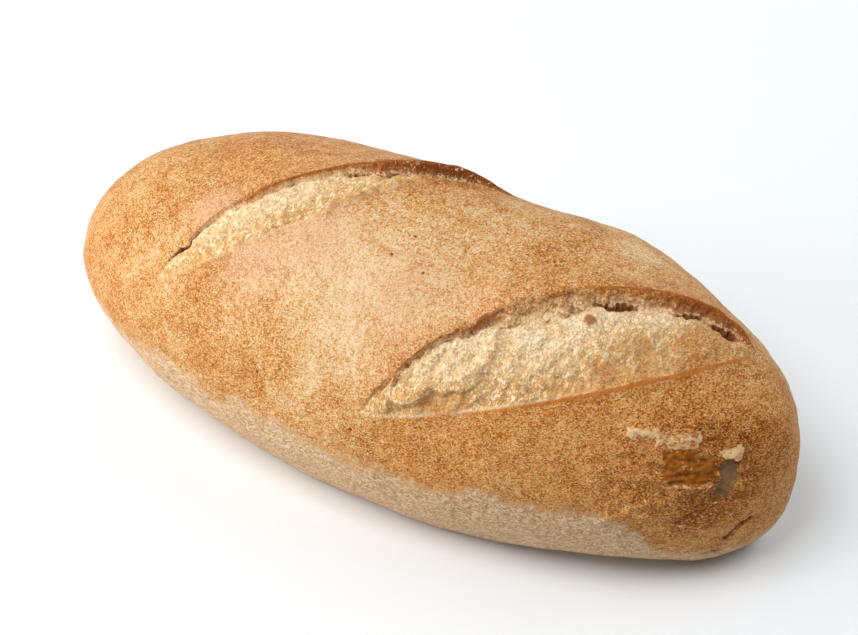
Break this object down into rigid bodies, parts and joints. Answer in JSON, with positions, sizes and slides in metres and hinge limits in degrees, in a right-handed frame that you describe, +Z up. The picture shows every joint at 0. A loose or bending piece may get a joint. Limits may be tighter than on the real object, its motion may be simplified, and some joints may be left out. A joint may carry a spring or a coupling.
{
  "type": "whole wheat bread loaf",
  "caption": "Oval hearth loaf of whole wheat bread with slanting opened cuts, a golden-brown crust and a peeled blister at one end, lying on its flat bottom.",
  "frame": {"origin": "middle of the loaf's flat bottom, on the surface it lies on", "axes": "+X along the loaf towards the end with the peeled blister, +Z up, +Y to the far side of the cuts' lips"},
  "size_m": [0.28, 0.1344, 0.0916],
  "materials": {
    "crust": "matt golden to orange-brown bread crust with pale bran speckle, paler along the bottom, torn cream crumb in the cuts"
  },
  "bodies": {
    "root": {"loaf": "crust"}
  },
  "joints": []
}
